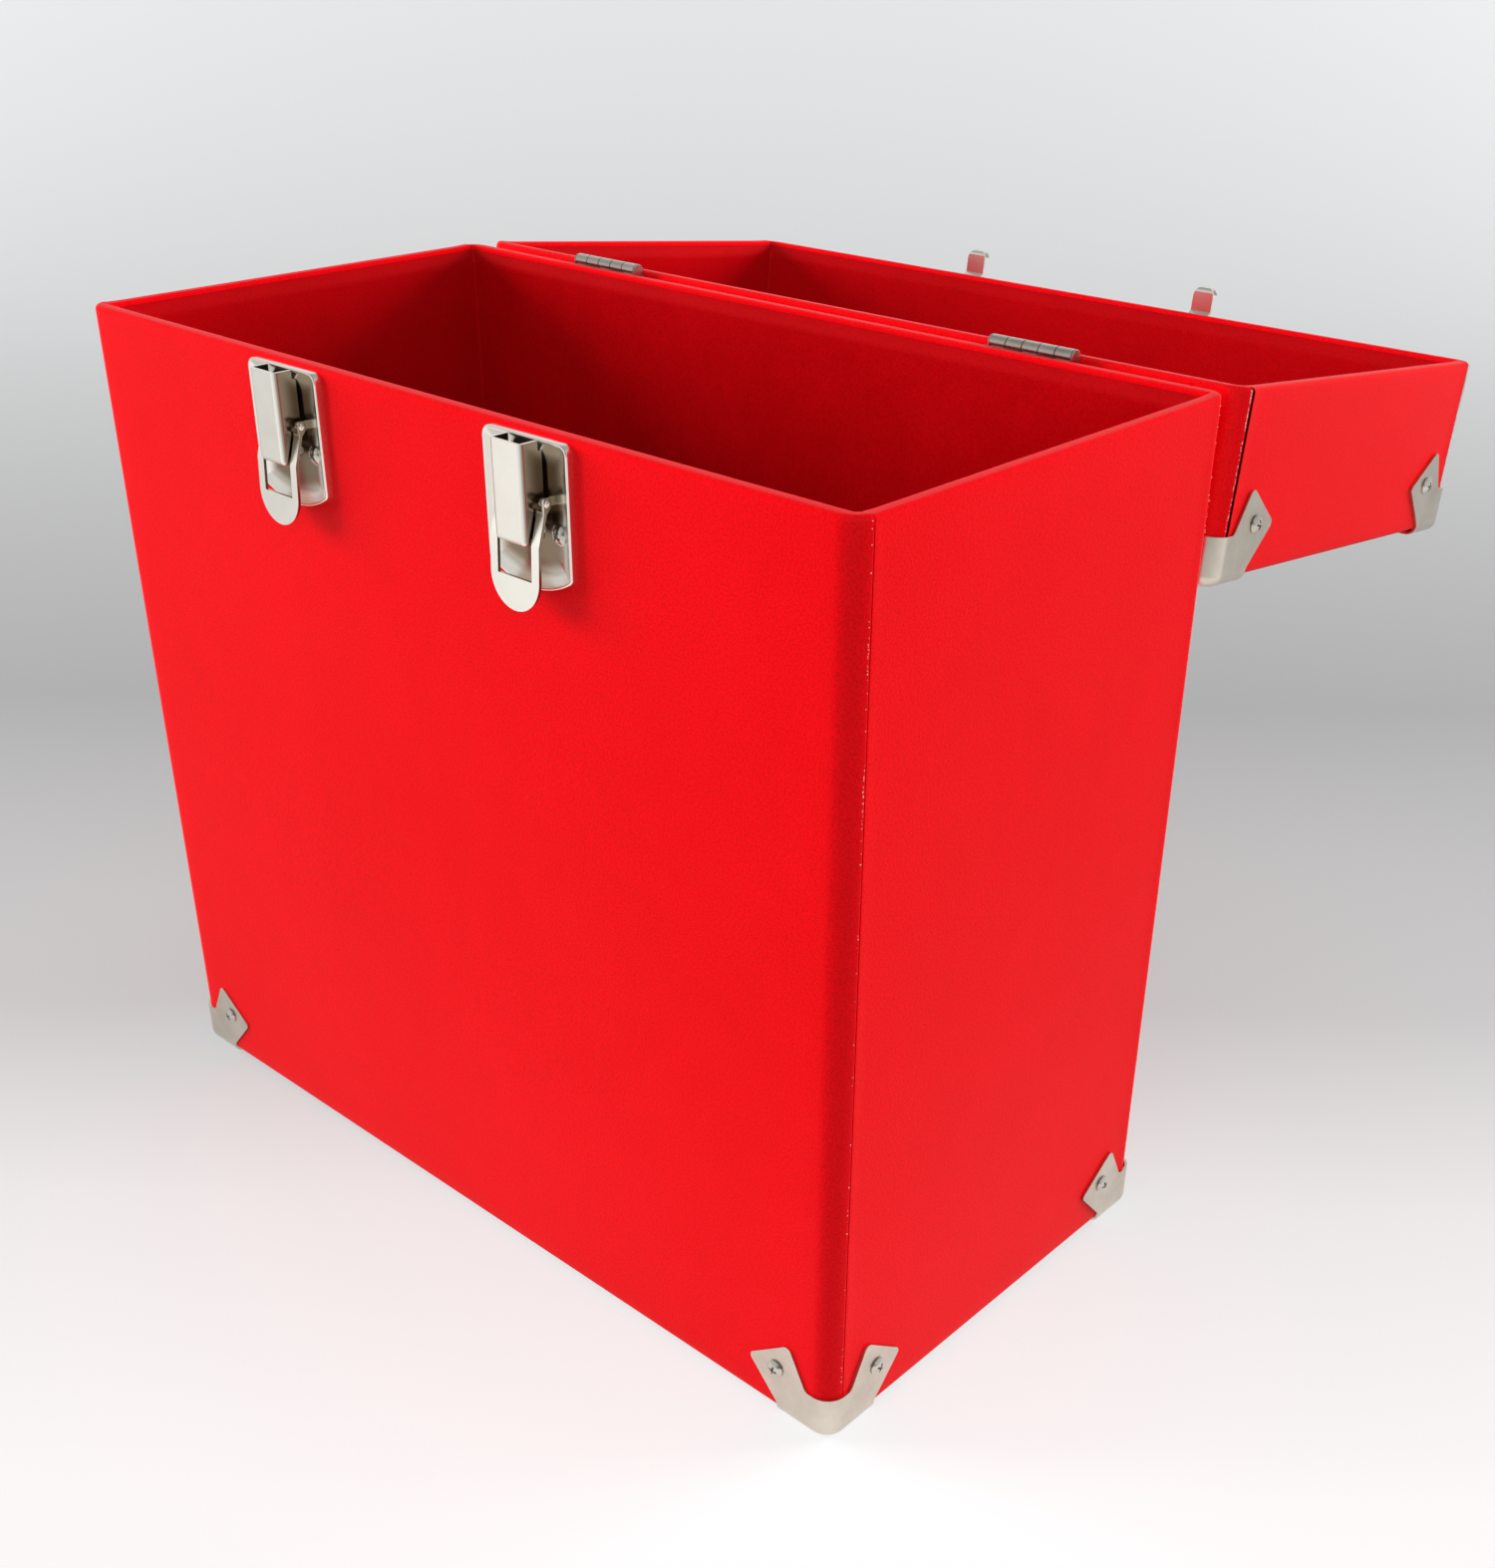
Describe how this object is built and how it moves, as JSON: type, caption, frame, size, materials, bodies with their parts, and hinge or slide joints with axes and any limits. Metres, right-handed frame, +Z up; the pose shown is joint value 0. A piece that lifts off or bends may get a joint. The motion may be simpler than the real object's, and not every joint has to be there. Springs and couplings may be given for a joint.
{
  "type": "record carrying case",
  "caption": "Upright box case for record sleeves, with a hinged lid that folds back, draw latches, metal corners and a carrying handle on the lid.",
  "frame": {"origin": "middle of the case on plan, in the foot plane of its four metal corners", "axes": "+Z up, the front with the latches faces -Y, the lid folds back towards +Y, the hinge line runs along X"},
  "size_m": [0.3558, 0.3707, 0.3047],
  "materials": {
    "leatherette_red": "satin, fine grain",
    "lining_red": "satin, fine grain",
    "grip_red": "satin, padded",
    "board": "raw plywood, hidden",
    "corner_nickel": "satin nickel plate",
    "latch_nickel": "bright nickel plate",
    "fitting_nickel": "nickel plate",
    "screw_nickel": "nickel plate",
    "strap_steel": "nickel plate"
  },
  "bodies": {
    "case": {"case_back_board": "board", "case_back_cover": "leatherette_red", "case_bottom_board": "board", "case_bottom_cover": "leatherette_red", "case_corner_back_left": "corner_nickel", "case_corner_back_right": "corner_nickel", "case_corner_front_left": "corner_nickel", "case_corner_front_right": "corner_nickel", "case_corner_screws": "screw_nickel", "case_front_board": "board", "case_front_cover": "leatherette_red", "case_left_board": "board", "case_left_cover": "leatherette_red", "case_lining": "lining_red", "case_right_board": "board", "case_right_cover": "leatherette_red", "hinge_case_leaf_left": "fitting_nickel", "hinge_case_leaf_right": "fitting_nickel", "hinge_case_screws": "screw_nickel", "hinge_pins": "fitting_nickel", "latch_plate_left": "latch_nickel", "latch_plate_right": "latch_nickel", "latch_plate_screws": "screw_nickel", "lever_rivets": "latch_nickel"},
    "lid": {"handle_bracket_left": "fitting_nickel", "handle_bracket_right": "fitting_nickel", "handle_bracket_screws": "screw_nickel", "handle_rivets": "screw_nickel", "hinge_lid_leaf_left": "fitting_nickel", "hinge_lid_leaf_right": "fitting_nickel", "hinge_lid_screws": "screw_nickel", "lid_back_board": "board", "lid_back_cover": "leatherette_red", "lid_corner_back_left": "corner_nickel", "lid_corner_back_right": "corner_nickel", "lid_corner_front_left": "corner_nickel", "lid_corner_front_right": "corner_nickel", "lid_corner_screws": "screw_nickel", "lid_front_board": "board", "lid_front_cover": "leatherette_red", "lid_hook_left": "latch_nickel", "lid_hook_right": "latch_nickel", "lid_hook_screws": "screw_nickel", "lid_left_board": "board", "lid_left_cover": "leatherette_red", "lid_lining": "lining_red", "lid_right_board": "board", "lid_right_cover": "leatherette_red", "lid_top_board": "board", "lid_top_cover": "leatherette_red"},
    "handle": {"handle_grip": "grip_red", "handle_strap": "strap_steel"},
    "lever_left": {"claw_pin_left": "latch_nickel", "latch_lever_left": "latch_nickel"},
    "lever_right": {"claw_pin_right": "latch_nickel", "latch_lever_right": "latch_nickel"},
    "claw_left": {"latch_claw_left": "latch_nickel"},
    "claw_right": {"latch_claw_right": "latch_nickel"}
  },
  "joints": [
    {"name": "lid_hinge", "type": "hinge", "parent": "case", "child": "lid", "pos_m": [0, 0.0905, 0.3022], "axis": [1, 0, 0], "range_deg": [0, 186.59]},
    {"name": "handle_swing", "type": "hinge", "parent": "lid", "child": "handle", "pos_m": [0, 0.17246, 0.22307], "axis": [1, 0, 0], "range_deg": [-82.59, 69.41]},
    {"name": "lever_left_pivot", "type": "hinge", "parent": "case", "child": "lever_left", "pos_m": [-0.057, -0.0907, 0.284], "axis": [-1, 0, 0], "range_deg": [0, 100]},
    {"name": "claw_left_pivot", "type": "hinge", "parent": "lever_left", "child": "claw_left", "pos_m": [-0.057, -0.091, 0.2765], "axis": [-1, 0, 0], "range_deg": [-100, 0]},
    {"name": "lever_right_pivot", "type": "hinge", "parent": "case", "child": "lever_right", "pos_m": [0.057, -0.0907, 0.284], "axis": [-1, 0, 0], "range_deg": [0, 100]},
    {"name": "claw_right_pivot", "type": "hinge", "parent": "lever_right", "child": "claw_right", "pos_m": [0.057, -0.091, 0.2765], "axis": [-1, 0, 0], "range_deg": [-100, 0]}
  ],
  "couplings": [
    {"joint": "claw_left_pivot", "follows": "lever_left_pivot", "ratio": -1},
    {"joint": "claw_right_pivot", "follows": "lever_right_pivot", "ratio": -1}
  ]
}
